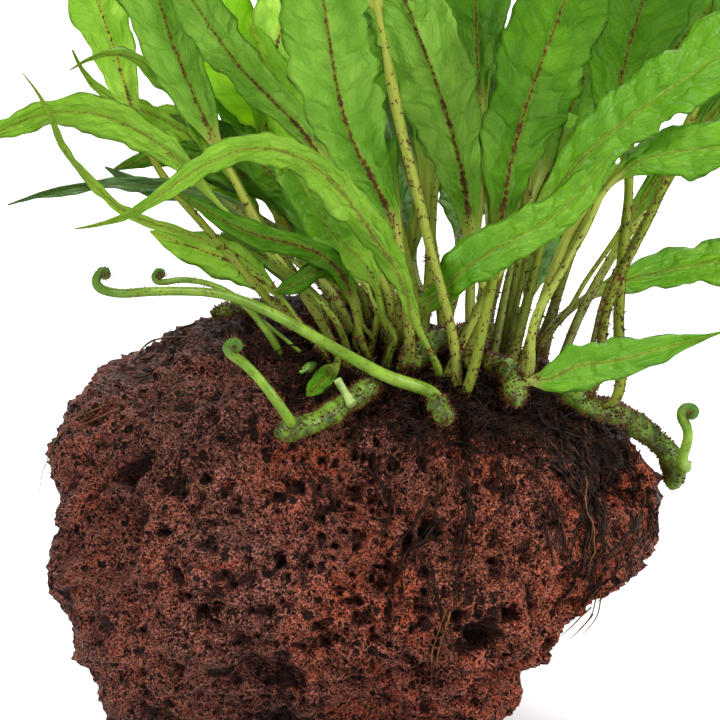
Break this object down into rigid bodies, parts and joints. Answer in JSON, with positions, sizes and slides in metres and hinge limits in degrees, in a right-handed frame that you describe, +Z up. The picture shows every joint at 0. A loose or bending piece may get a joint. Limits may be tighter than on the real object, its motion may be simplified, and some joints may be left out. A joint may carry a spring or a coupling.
{
  "type": "java fern on lava rock",
  "caption": "Clump of long strap-leaved fern fronds rising from green creeping rhizomes that grip a rough, pitted red-brown lava rock.",
  "frame": {"origin": "centre of the flat patch under the rock, on which it rests", "axes": "+Z up, +X to the right and -Y towards the viewer of the front, where the cut rhizome ends and the long coiled young frond show"},
  "size_m": [0.1807, 0.2033, 0.1973],
  "materials": {
    "rock": "matte",
    "rhizome": "satin",
    "root": "satin",
    "stalk": "satin",
    "frond_under": "satin",
    "frond_top": "satin"
  },
  "bodies": {
    "root": {"lava_rock": "rock", "rhizome_left": "rhizome", "rhizome_middle": "rhizome", "rhizome_front": "rhizome", "rhizome_mid_right": "rhizome", "rhizome_right": "rhizome", "rhizome_back": "rhizome", "roots_front": "root", "roots_right": "root", "roots_left": "root", "fiddlehead_long": "stalk", "fiddlehead_back": "stalk", "fiddlehead_front": "stalk", "fiddlehead_right": "stalk", "frond_front_left": "frond_under", "frond_front_middle": "frond_under", "frond_front_right": "frond_under", "frond_tall_right": "frond_under", "frond_sweeping_right": "frond_top", "frond_short": "frond_top", "frond_level_right": "frond_top", "frond_low_right": "frond_top", "frond_lowest_right": "frond_top", "frond_scaly_right": "frond_under", "frond_leaning_right": "frond_top", "frond_front_stalk": "frond_under", "frond_middle_back": "frond_top", "frond_far_left": "frond_under", "frond_left": "frond_under", "frond_left_slant": "frond_under", "frond_left_bright": "frond_under", "frond_left_pale": "frond_under", "frond_left_arch": "frond_top", "frond_near_arch": "frond_top", "frond_left_curl": "frond_top", "frond_left_thin_tip": "frond_top", "frond_left_whip": "frond_top", "frond_left_dark": "frond_top", "frond_left_small": "frond_top", "frond_left_low": "frond_under", "frond_blunt": "frond_under", "frond_speckled": "frond_under", "frond_small_dark": "frond_under", "frond_inner_left_1": "frond_under", "frond_inner_left_2": "frond_top", "frond_inner_left_3": "frond_under", "frond_inner_left_4": "frond_top", "frond_behind_left": "frond_top", "frond_behind_middle": "frond_top", "frond_behind_right": "frond_top", "frond_right_strip": "frond_top", "frond_right_narrow": "frond_top", "frond_right_upper": "frond_top", "frond_back_1": "frond_top", "frond_back_2": "frond_top", "frond_back_3": "frond_top", "frond_back_4": "frond_top", "frond_back_5": "frond_top", "frond_back_6": "frond_top", "frond_hanging": "frond_top"}
  },
  "joints": []
}
